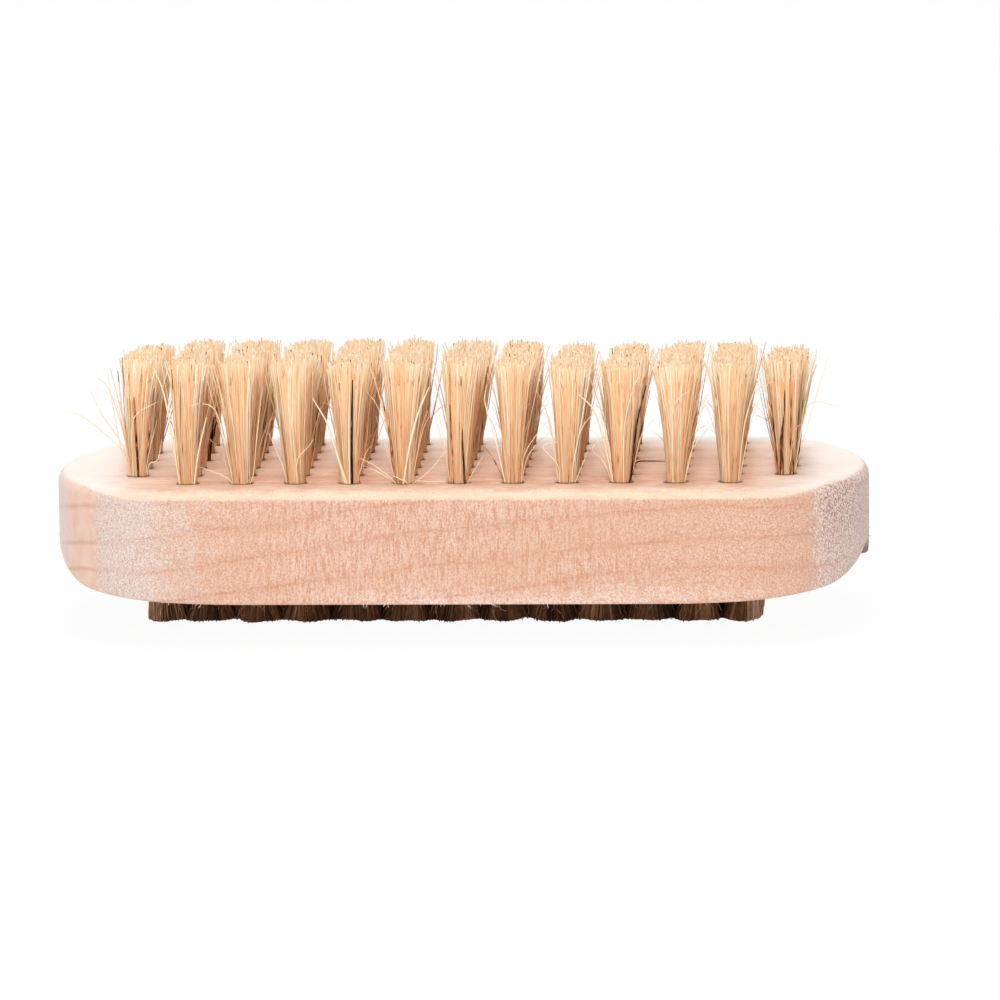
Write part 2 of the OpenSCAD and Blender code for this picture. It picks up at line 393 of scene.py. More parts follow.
PALE = bristle("pale_bristle", [
    (0.0, "18100c"), (0.06, "422618"), (0.13, "9c6038"), (0.2, "e29c64"),
    (0.42, "fac18f"), (0.66, "ffd4a8"), (0.85, "ffe6c0"), (1.0, "fff4de"),
], (0.81, 0.75, 0.735, 1.0), TOP_Z)
# The underside fibres are dark brown, partly their own tone and partly painted shade under the block
DARK = bristle("dark_bristle", [
    (0.0, "402e22"), (0.35, "7a5840"), (0.65, "ae8260"), (0.88, "cea27c"),
    (1.0, "f0d2b4"),
], (0.92, 0.9, 0.88, 1.0), UNDER_LEN)
BEECH = beech()
TORN_FIBRE = torn_fibre()
WIRE = wire()


# Meshes

def link(thing):
    bpy.context.scene.collection.objects.link(thing)


def show(name, mesh, material, slot, *nodes):
    """Adds a mesh as a piece that rides on the brush and takes the place of the nodes named."""
    piece = bpy.data.objects.new(name, mesh)
    link(piece)
    mesh.materials.append(material)
    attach(piece, ROOT)
    if nodes:
        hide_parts(*nodes)


def smooth(mesh):
    mesh.polygons.foreach_set("use_smooth", [True] * len(mesh.polygons))


def unit(vectors):
    return vectors / np.linalg.norm(vectors, axis=-1, keepdims=True)


def turned(angles):
    """Directions in plan at the angles given."""
    return np.stack([np.cos(angles), np.sin(angles)], -1)


def circle_of(count):
    return np.arange(count) * 2 * math.pi / count


def raised(outline, z):
    """An outline in plan at a height, or at a height for each point."""
    return np.column_stack([outline, np.broadcast_to(z, len(outline))])


def walls(index):
    """Four-cornered faces between rings, given their points' numbers in shape (..., rings, points)."""
    low, high = index[..., :-1, :], index[..., 1:, :]
    return np.stack([low, np.roll(low, -1, -1), np.roll(high, -1, -1), high], -1).reshape(-1, 4)


def tubes(paths, radii, outward, sides=4):
    """Points, faces and corner normals of closed tubes along paths of shape (tubes, points, 3).

    The normals of the walls lean towards outward, as light spreads through a bundle of pale fibres.
    """
    paths, radii = np.asarray(paths, float), np.asarray(radii, float)
    count, steps, _ = paths.shape
    way = unit(np.gradient(paths, axis=1))
    along = unit(paths[:, -1] - paths[:, 0])
    aside = np.where(np.abs(along[:, :1]) < 0.7, (1.0, 0.0, 0.0), (0.0, 1.0, 0.0))[:, None, :]
    first = unit(np.cross(way, aside))
    second = np.cross(way, first)
    turn = random.uniform(0, 2 * math.pi, (count, 1)) + circle_of(sides)
    turn = turn[:, None, :, None]
    ring = np.cos(turn) * first[:, :, None] + np.sin(turn) * second[:, :, None]
    points = (paths[:, :, None] + radii[:, :, None, None] * ring).reshape(-1, 3)
    index = np.arange(count * steps * sides).reshape(count, steps, sides)
    sheath = walls(index)
    faces = sheath.tolist() + index[:, 0, ::-1].tolist() + index[:, -1].tolist()
    soft = unit(ring + outward[:, :, None]).reshape(-1, 3)
    caps = np.concatenate([np.repeat(-way[:, 0], sides, 0), np.repeat(way[:, -1], sides, 0)])
    return points, faces, np.concatenate([soft[sheath].reshape(-1, 3), caps])


def fibre_mesh(name, paths, radii, tones, alongs, outward, solids=(), sides=4):
    """A mesh of tubes that carries the tone of each fibre and how far up it each point is.

    Solids between the tubes come with their points, faces, normals, tones and heights.
    """
    points, faces, normals = tubes(paths, radii, outward, sides)
    tone, along = (np.repeat(np.asarray(v, float).reshape(-1), sides) for v in (tones, alongs))
    joined = [[points], [normals], [tone], [along]]
    start = len(points)
    for points, more, normals, tone, along in solids:
        faces += [[start + i for i in face] for face in more]
        start += len(points)
        for values, added in zip(joined, (points, normals[np.concatenate(more)], tone, along)):
            values.append(added)
    points, normals, tone, along = map(np.concatenate, joined)
    mesh = bpy.data.meshes.new(name)
    mesh.from_pydata(points * MM, [], faces)
    for label, values in (("tone", tone), ("along", along)):
        mesh.attributes.new(label, "FLOAT", "POINT").data.foreach_set("value", values)
    mesh.update()
    smooth(mesh)
    mesh.normals_split_custom_set(normals.tolist())
    return mesh


# Wooden block

# Points along the arcs and walls of its outline
END_STEPS, CORNER_STEPS, WALL_STEPS = 44, 24, 32

END_CX = BLOCK_LEN / 2 - END_R
CORNER_CY = BLOCK_W / 2 - CORNER_R
CORNER_CX = END_CX + math.sqrt((END_R - CORNER_R) ** 2 - CORNER_CY ** 2)
TANGENT = math.atan2(CORNER_CY, CORNER_CX - END_CX)
RISE_X = FLAT_LEN / 2
RISE_CZ = UNDER_LEN + RISE_R
HEEL_CX = BLOCK_LEN / 2 + HEEL_REACH - HEEL_R
HEEL_CZ = RISE_CZ - math.sqrt((RISE_R - HEEL_R) ** 2 - (HEEL_CX - RISE_X) ** 2)
HEEL_X = RISE_X + RISE_R * (HEEL_CX - RISE_X) / (RISE_R - HEEL_R)


def underside(x, y=0.0):
    """Height of the underside at a place. Its right end is worn round in front and fuller behind."""
    away = np.abs(x)
    past = np.maximum(0, away - RISE_X)
    rise = RISE_CZ - np.sqrt(RISE_R ** 2 - np.minimum(past, HEEL_X) ** 2)
    heel = HEEL_CZ - np.sqrt(np.maximum(HEEL_R ** 2 - (away - HEEL_CX) ** 2, 0))
    worn = np.where(away < HEEL_X, rise, heel)
    behind = np.clip((np.asarray(y) - 0.5) / 2.5, 0, 1) * np.clip(x / 10.0, 0, 1)
    return worn + behind * 0.95 * (rise - worn)


def plan(inset):
    """Outline of the block in plan, anticlockwise from the right end, drawn in all round."""
    tangent, square = TANGENT, math.pi / 2

    def arc(cx, cy, start, stop, r=CORNER_R - inset, steps=CORNER_STEPS):
        return (cx, cy) + r * turned(np.linspace(start, stop, steps, endpoint=False))

    def end(cx, middle):
        return arc(cx, 0, middle - tangent, middle + tangent, END_R - inset, END_STEPS)

    def wall(x0, x1, y):
        x = np.linspace(x0, x1, WALL_STEPS, endpoint=False)
        return np.stack([x, np.full(WALL_STEPS, y)], 1)

    y = BLOCK_W / 2 - inset
    return np.concatenate([
        end(END_CX, 0),
        arc(CORNER_CX, CORNER_CY, tangent, square),
        wall(CORNER_CX, -CORNER_CX, y),
        arc(-CORNER_CX, CORNER_CY, square, 2 * square - tangent),
        end(-END_CX, 2 * square),
        arc(-CORNER_CX, -CORNER_CY, 2 * square + tangent, 3 * square),
        wall(-CORNER_CX, CORNER_CX, -y),
        arc(CORNER_CX, -CORNER_CY, 3 * square, 4 * square - tangent)])


def sheet_with_holes(outline, circles, spots=()):
    """Triangles between an outline and circles, through the spots given."""
    points, edges = [], []
    for loop in [outline, *circles]:
        start = len(points)
        points += [Vector(p) for p in loop]
        edges += [(start + i, start + (i + 1) % len(loop)) for i in range(len(loop))]
    points += [Vector(p) for p in spots]
    flat, _, faces, *_ = delaunay_2d_cdt(points, edges, [], 1, 1e-6)
    middles = np.array([sum((flat[i] for i in f), Vector((0, 0))) / 3 for f in faces])
    inside = np.zeros(len(faces), bool)
    for circle in circles:
        centre = np.mean(circle, axis=0)
        reach = np.max(np.linalg.norm(circle - centre, axis=1))
        inside |= np.linalg.norm(middles - centre, axis=1) < reach * 0.97
    return np.array(flat), [f for f, hidden in zip(faces, inside) if not hidden]


class Shell:
    """Collects points and faces of one surface whose pieces meet at shared points."""

    def __init__(self):
        self.points, self.faces = [], []

    def add(self, points, faces):
        start = len(self.points)
        self.points += [tuple(p) for p in points]
        self.faces += [[start + int(i) for i in f] for f in faces]

    def add_rings(self, rings):
        points = np.concatenate(rings)
        self.add(points, walls(np.arange(len(points)).reshape(len(rings), -1)))

    def mesh(self, name):
        work = bmesh.new()
        corners = [work.verts.new(p) for p in self.points]
        for f in self.faces:
            work.faces.new([corners[i] for i in f])
        bmesh.ops.remove_doubles(work, verts=work.verts, dist=1e-4)
        bmesh.ops.recalc_face_normals(work, faces=work.faces)
        work.transform(Matrix.Scale(MM, 4))
        mesh = bpy.data.meshes.new(name)
        work.to_mesh(mesh)
        work.free()
        smooth(mesh)
        mesh.set_sharp_from_angle(angle=SHARP_ANGLE)
        return mesh


def column_x(column):
    return SHIFT + (column - (COLUMNS - 1) / 2) * PITCH_X


def row_y(row):
    return (row - (ROWS + 1) / 2) * PITCH_Y


def row_columns(row):
    skip = 1 if row in (1, ROWS) else 0
    return range(skip, COLUMNS - skip)


def under_places(row):
    y = (row - (UNDER_ROWS + 1) / 2) * UNDER_PITCH_Y
    return [(UNDER_SHIFT + (i - (COLUMNS - 1) / 2) * UNDER_PITCH_X, y) for i in range(COLUMNS)]


def ragged_circle(x, y, r, rough, points=26):
    a = circle_of(points)
    reach = r + random.normal(0, rough, points)
    reach += np.abs(np.cos(a)) ** 9 * random.uniform(0, 0.4, points)  # torn along the grain
    return (x, y) + reach[:, None] * turned(a)


def block():
    shell = Shell()

    # Lower edge, walls and rounded rim
    rings = []
    for a in np.linspace(math.pi / 2, 0, 5):
        outline = plan(SOFT_EDGE * (1 - math.cos(a)))
        lift = SOFT_EDGE * (1 - math.sin(a))
        rings.append(raised(outline, underside(*outline.T) + lift))
    bottom, rim_z = rings[-1][:, 2], TOP_Z - RIM_R
    for share in (0.2, 0.5, 0.8):
        rings.append(raised(plan(0), bottom + (rim_z - bottom) * share))
    for a in np.linspace(0, math.pi / 2, 8):
        rings.append(raised(plan(RIM_R * (1 - math.cos(a))), TOP_Z - RIM_R * (1 - math.sin(a))))
    inner = plan(RIM_R + FLAT_RIM)
    shell.add_rings([*rings, raised(inner, TOP_Z)])

    # Upper face and its holes
    centres = [(column_x(c), row_y(r)) for r in range(1, ROWS + 1) for c in row_columns(r)]
    circles = [ragged_circle(x, y, HOLE_R + CHAMFER, 0.025) for x, y in centres]
    flat, faces = sheet_with_holes(inner, circles)
    shell.add(raised(flat, TOP_Z), faces)
    drill(shell, circles, centres, HOLE_R, lambda x, y: TOP_Z, -1, TOP_Z - HOLE_DEPTH)

    # Underside, whose faces follow its curve, and its holes
    outer = plan(SOFT_EDGE)
    centres = [place for row in range(1, UNDER_ROWS + 1) for place in under_places(row)]
    circles = [ragged_circle(x, y, UNDER_HOLE_R + CHAMFER, 0.02) for x, y in centres]
    xs = np.concatenate([np.arange(0, RISE_X, 4), np.arange(RISE_X, HEEL_X, 1.8),
                         HEEL_CX + HEEL_R * np.sin(np.radians(np.arange(12, 72, 6)))])
    ys = np.arange(-19, 19.1, 1.9)

    def clear(p):
        """Whether a point keeps away from the holes and from the edge."""
        far = np.min(np.linalg.norm(np.array(centres) - p, axis=1)) > UNDER_HOLE_R + 0.35
        room = 0.12 if abs(p[0]) > HEEL_X else 0.5
        return far and within(p, outer) and np.min(np.linalg.norm(outer - p, axis=1)) > room

    spots = [(side * x, y) for x in xs for y in ys for side in ((1, -1) if x else (1,))]
    flat, faces = sheet_with_holes(outer, circles, [p for p in spots if clear(p)])
    shell.add(raised(flat, underside(*flat.T)), faces)
    drill(shell, circles, centres, UNDER_HOLE_R, underside, 1, UNDER_LEN + UNDER_DEPTH)
    show("wood_body", shell.mesh("wood_body"), BEECH, "beech_wood", "wood_block")


def within(p, loop):
    """Whether a point lies inside a convex loop that runs anticlockwise."""
    ahead, away = np.roll(loop, -1, 0) - loop, p - loop
    return np.all(ahead[:, 0] * away[:, 1] > ahead[:, 1] * away[:, 0])


def drill(shell, circles, centres, r, surface, way, floor_z):
    """Blind holes behind circles that lie on a surface: a broken edge, a wall and a floor."""
    for circle, (x, y) in zip(circles, centres):
        wall = (x, y) + r * turned(circle_of(len(circle)))
        rings = [raised(circle, surface(*circle.T)),
                 raised(wall, surface(*wall.T) + way * CHAMFER), raised(wall, floor_z)]
        shell.add_rings(rings)
        shell.add(rings[-1], [list(range(len(wall)))])


# Tufts

def trim_length(x, y):
    """Free length at which the upper bristles are cut: it falls towards the back and the right."""
    slope = TRIM_DROP / (2 * row_y(ROWS))
    at = np.interp(x, (-36, -26, -10, 0, 8, 14, 20, 26, 36),
                   (-0.1, 0, 0, -0.1, -0.35, -0.7, -0.65, -0.4, -0.5))
    return UPPER_LEN + at - slope * (y + row_y(ROWS))


# Points of a fibre, as shares of its free length
STEPS = np.array([-0.06, 0.06, 0.24, 0.45, 0.66, 0.85, 1.0])
GOLDEN_TURN = math.pi * (3 - math.sqrt(5))


def tuft(count, base_r, tip_r, thick, spread, strays, locks, early=0.62, lean=(0.0, 0.0), cling=0.5):
    """Flat paths of a tuft's fibres, the share of its length at each point, and what goes with them."""
    k = np.arange(count)
    reach = np.sqrt((k + 0.5) / count)
    angle = k * GOLDEN_TURN + random.uniform(0, 6.3)
    foot = turned(angle) * reach[:, None] * base_r
    foot += random.normal(0, 0.025, (count, 2))
    tip = foot / base_r * tip_r * random.normal(1, 0.05, (count, 1))
    tip += random.normal(0, spread, (count, 2)) + np.array(lean)

    # Fibres stick together in small locks, and each lock sways its own way
    centres = random.choice(count, locks, replace=False)
    nearest = np.argmin(np.linalg.norm(tip[:, None] - tip[centres][None], axis=2), axis=1)
    tip += (tip[centres][nearest] - tip) * random.uniform(0.0, cling, (count, 1))
    sway = random.normal(0, 0.16, (locks, 2))[nearest]

    # A few lean out of the tuft
    loose = random.random(count) < strays
    turn = random.uniform(0, 2 * math.pi, count)
    stray = np.where(loose, random.uniform(0.4, 2.2, count) ** 1.2, 0)
    tip += turned(turn) * stray[:, None]

    t = np.repeat(STEPS[None], count, 0)
    bend = np.clip(random.normal(early, 0.16, (count, 1)), 0.1, 1.1)
    rise = np.maximum(t, 0)
    share = bend * rise + (1 - bend) * rise ** 2
    path = foot[:, None] + (tip - foot)[:, None] * share[:, :, None]
    path += sway[:, None] * (4 * rise * (1 - rise))[:, :, None]
    wave = random.uniform(0, 6.3, (count, 1, 2))
    wave = wave + rise[:, :, None] * random.uniform(2, 8, (count, 1, 2))
    path += np.sin(wave) * random.uniform(0.01, 0.09, (count, 1, 1)) * rise[:, :, None]
    path[:, -1] += random.normal(0, 0.07, (count, 2))
    radius = random.uniform(*thick, (count, 1)) * (0.85 + 0.25 * reach[:, None])
    radius = radius * (1.0 - 0.14 * rise)
    return path, t, radius, reach, random.normal(0, 1, locks)[nearest]


def outward_of(path, t, pull, up):
    """A pull away from the axis of the tuft, and upwards near the tips, at each point."""
    flat = path / np.maximum(np.linalg.norm(path, axis=-1, keepdims=True), 0.9)
    high = np.clip((t - 0.6) / 0.4, 0, 1)[:, :, None]
    return np.concatenate([flat * pull * (1 - 0.6 * high), (0.15 + 1.1 * high) * up], 2)


def root_bundle(hole_r, depth):
    """The two halves of a folded root on either side of its anchor, and the fold below it."""
    points, faces = [], []
    r, gap = hole_r - 0.1, ANCHOR_T / 2 + 0.05

    def prism(outline, low, high):
        index = len(points) + np.arange(2 * len(outline)).reshape(2, -1)
        points.extend((x, y, z) for z in (low, high) for x, y in outline)
        faces.extend([index[0, ::-1].tolist(), index[1].tolist(), *walls(index).tolist()])

    start = math.asin(gap / r)
    half = [(r * math.cos(a), r * math.sin(a)) for a in np.linspace(start, math.pi - start, 9)]
    prism(half, 0.06 - depth, -0.45)
    prism([(-px, -py) for px, py in half], 0.06 - depth, -0.45)
    width = r * math.cos(start) * 0.97
    prism([(-width, -gap), (width, -gap), (width, gap), (-width, gap)], 0.06 - depth, FOLD_T - depth)
    points = np.array(points)
    return points, faces, np.zeros(points.shape), np.full(len(points), 0.3), np.zeros(len(points))


# The top of a tuft's packed middle is a bowl: its depth, the share of the radius that it keeps and how
# much darker it is painted, as shade among the fibre tips
BOWL_DEPTH, BOWL_R, BOWL_SHADE = 0.14, 0.6, 0.16


def heart(base_r, tip_r, lean, length, tone, top=0.93, early=0.62, around=36, ragged=0.12):
    """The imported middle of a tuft: a closed, flaring, fluted body that the fibres rise above."""
    t = np.array([-0.04, 0.0, 0.2, 0.45, 0.7, top, top - BOWL_DEPTH])
    rise = np.maximum(t, 0)
    share = early * rise + (1 - early) * rise ** 2
    r = base_r + (tip_r - base_r) * share
    r[-1] *= BOWL_R
    a = circle_of(around)
    flat = turned(a)
    flute = random.normal(1, 0.05, around) + 0.05 * np.sin(3 * a + random.uniform(0, 6.3))
    swell = 1 + (flute - 1) * np.linspace(0.3, 1.3, len(t))[:, None]
    rings = (r[:, None] * swell)[:, :, None] * flat[None] + share[:, None, None] * np.array(lean)
    z = np.repeat((t * length)[:, None], around, 1)
    z[-2] -= random.uniform(0, ragged, around) * length
    points = np.concatenate([rings, z[:, :, None]], 2).reshape(-1, 3)
    normals = np.column_stack([np.tile(flat, (len(t), 1)), np.full(len(t) * around, 0.2)])
    normals[-around:] = (0, 0, 1)
    index = np.arange(len(points)).reshape(-1, around)
    faces = [*walls(index).tolist(), index[0, ::-1].tolist(), index[-1].tolist()]
    tone = np.tile(random.normal(*tone, around), len(t))
    # Painted shade on the bowl at the top
    tone[-around:] -= BOWL_SHADE
    rise[-1] = 0.5
    return points, faces, unit(normals), tone, np.repeat(rise, around)


# How far the tufts in view lean along the block and the radius of their tips, by row and column
LEANS = {
    (2, 0): (0.35, 2.3), (1, 1): (0.3, 1.9), (1, 2): (-0.4, 2.05), (1, 3): (-0.6, 2.05),
    (1, 4): (-0.1, 2.5), (1, 5): (0.2, 2.45), (1, 6): (0.5, 2.1), (1, 7): (0.15, 2.0),
    (1, 8): (0.5, 2.3), (1, 9): (0.25, 2.45), (1, 10): (0.4, 2.8), (1, 11): (0.3, 2.3),
    (2, 12): (-0.2, 2.4),
}

# Tones of most upper fibres, of the pale ones and of the darker ones, and their shares
TONES, TONE_SHARES = np.array([0.56, 0.74, 0.4]), (0.6, 0.24, 0.16)
DARK_TONE = 0.03
CURLS, CURL_STEPS = 7, len(STEPS)


def show_row(kind, row, fibres, solids, material, slot):
    """One row of tufts as one piece, in place of its CAD node."""
    name = f"{kind}_bristles_{row}"
    arrays = [np.concatenate(values) for values in zip(*fibres)]
    mesh = fibre_mesh(name, *arrays, solids, sides=3)
    show(name, mesh, material, slot, f"{kind}_row_{row}")


def upper_row(row):
    fibres, solids = [], []
    bundle = root_bundle(HOLE_R, HOLE_DEPTH)
    count = UPPER_FIBRES
    for column in row_columns(row):
        centre = np.array([column_x(column), row_y(row)])
        drawn = random.normal(0, 0.22), (FLARE_R if row < 3 else BACK_FLARE_R) * random.normal(1, 0.08)
        lean, flare = LEANS.get((row, column), drawn)
        depth_lean = random.normal(0, 0.15)
        path, t, radius, _, lock = tuft(count, HOLE_R - 0.2, flare - 0.1, UPPER_THICK, 0.24, 0.08,
                                        22, lean=(lean, depth_lean))
        outward = outward_of(path, t, 1.3, 1.0)
        path = path + centre

        # Most are cut at the trim, one in ten is shorter and a few stand over
        cut = trim_length(path[:, -1, 0], path[:, -1, 1]) + random.normal(0, 0.18, count)
        short = random.random(count) < 0.1
        cut -= np.where(short, random.uniform(0.3, 1.8, count), 0)
        cut += np.where(random.random(count) < 0.03, random.uniform(0.1, 0.45, count), 0)

        # A few are dark all over, and in some tufts a few have a dark tip
        tone = random.choice(3, count, p=TONE_SHARES)
        tone = random.normal(TONES[tone], 0.07) + 0.05 * lock
        tone = np.clip(tone, 0.22, 0.95)
        tone = np.where(random.random(count) < 0.003, random.uniform(0.0, 0.1, count), tone)
        tone = np.repeat(tone[:, None], t.shape[1], 1)
        tone += 0.16 * np.maximum(t, 0) ** 2 * (tone > 0.15)
        dark_tip = random.random(count) < random.choice((0.0, 0.008, 0.03))
        t[dark_tip, -2] = 0.94
        path[dark_tip, -2] = path[dark_tip, -1] * 0.9 + path[dark_tip, -2] * 0.1
        tone[dark_tip, -1] = DARK_TONE
        path = np.concatenate([path, (TOP_Z + t * cut[:, None])[:, :, None]], 2)
        fibres.append((path, radius, tone, np.clip(t, 0, 1), outward))
        middle = heart(0.74 * HOLE_R, 0.74 * flare, (lean, depth_lean), trim_length(*centre),
                       (0.5, 0.12))
        for points, *rest in (bundle, middle):
            solids.append((points + (*centre, TOP_Z), *rest))
    show_row("upper", row, fibres, solids, PALE, "pale_bristle")


def strip_wave(x):
    """How far above the floor the worn ends of the dark tufts are, along the block."""
    waves = 0.06 * np.sin(x * 0.9 + 1.0) + 0.05 * np.sin(x * 0.37) + 0.05 * np.sin(x * 1.9 + 0.6)
    return 0.17 + waves


def ends_strip(x):
    """Whether the dark tuft at x is the last one of its row."""
    return abs(x - UNDER_SHIFT) > 5.5 * UNDER_PITCH_X


def strip_tone_and_light(x):
    """How much lighter the dark fibres are in browner patches, and at the two ends of the strip as
    painted light where the rising underside lets more light in.
    """
    patch = 0.15 * np.sin(x * 0.95 + 0.5) + 0.08 * np.sin(x * 2.3)
    return patch + 0.4 * np.clip((abs(x - UNDER_SHIFT) - 32.0) / 2.5, 0, 1)


def drawn_in(across, t, x):
    """Draws the outer side of a last tuft in, so that the strip ends upright."""
    outer = ends_strip(x) & (across * x > 0)
    return across * np.where(outer, 0.9 - 0.42 * np.clip(t, 0, 1), 1.0)


def under_row(row):
    fibres, solids = [], []
    count, around = UNDER_FIBRES, UNDER_AROUND
    over = np.array((1, -1, -1))
    for x, y in under_places(row):
        mouth = float(underside(x))
        path, t, radius, reach, lock = tuft(count, UNDER_HOLE_R - 0.16, UNDER_FLARE_R, UNDER_THICK,
                                            0.1, 0.0, 24, early=1.1, cling=0.1)
        path[:, :, 0] = drawn_in(path[:, :, 0], t, x)
        t[:, 0] = -0.15
        outward = outward_of(path, t, 0.8, -0.3)
        path = path + (x, y)
        worn = strip_wave(path[:, -1, 0])
        dip = worn + 0.03 * reach ** 4 + np.abs(random.normal(0, 0.012, count))
        free = mouth - np.maximum(dip, 0.02)
        # The last tufts are painted lighter, as light that reaches them where the underside rises
        tone = 0.42 + 0.24 * max(0, abs(x) - 27) / 7 + random.normal(0, 0.07)
        tone = random.normal(tone, 0.12, count) + 0.08 * lock + strip_tone_and_light(path[:, -1, 0])
        tone = np.repeat(np.clip(tone, 0.0, 0.95)[:, None], t.shape[1], 1)
        path = np.concatenate([path, (mouth - t * free[:, None])[:, :, None]], 2)
        fibres.append((path, radius, tone, np.clip(t, 0, 1), outward))

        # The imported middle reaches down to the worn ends, as its last ring but one shows
        middle = heart(0.8 * UNDER_HOLE_R, 0.93 * UNDER_FLARE_R, (0.0, 0.0), mouth, (0.42, 0.16),
                       0.97, 1.0, around, 0.0)
        body, brim = middle[0], slice(-2 * around, -around)
        body[:, 0] = drawn_in(body[:, 0], body[:, 2] / mouth, x)
        body[brim, 2] = mouth - strip_wave(x + body[brim, 0]) - 0.05
        middle[3][:] += strip_tone_and_light(x + body[:, 0])
        bundle = root_bundle(UNDER_HOLE_R, UNDER_LEN + UNDER_DEPTH - mouth)
        for points, faces, normals, *rest in (bundle, middle):
            solids.append((points * over + (x, y, mouth), faces, normals * over, *rest))

        # Thin pale hairs that curl over the outside of the tuft
        size = CURLS, CURL_STEPS
        turn = np.arctan2(y, 0) + random.uniform(-1.2, 1.2, (CURLS, 1))
        turn = turn + np.cumsum(random.normal(0, 0.09, size), 1)
        high = random.uniform(0.5, 1.0, (CURLS, 1))
        high = np.clip(high - np.cumsum(np.abs(random.normal(0.05, 0.05, size)), 1), 0.06, 1.0)
        wide = UNDER_HOLE_R + (UNDER_FLARE_R - UNDER_HOLE_R) * (1 - high) + 0.12
        out = wide * np.cos(turn) * (0.6 if ends_strip(x) else 1.0)
        curl = np.stack([x + out, y + wide * np.sin(turn), high * mouth], 2)
        thin = np.repeat(random.uniform(0.025, 0.045, (CURLS, 1)), CURL_STEPS, 1)
        fibres.append((curl, thin, np.ones(size), np.ones(size), np.zeros((*size, 3))))
    show_row("under", row, fibres, solids, DARK, "dark_bristle")


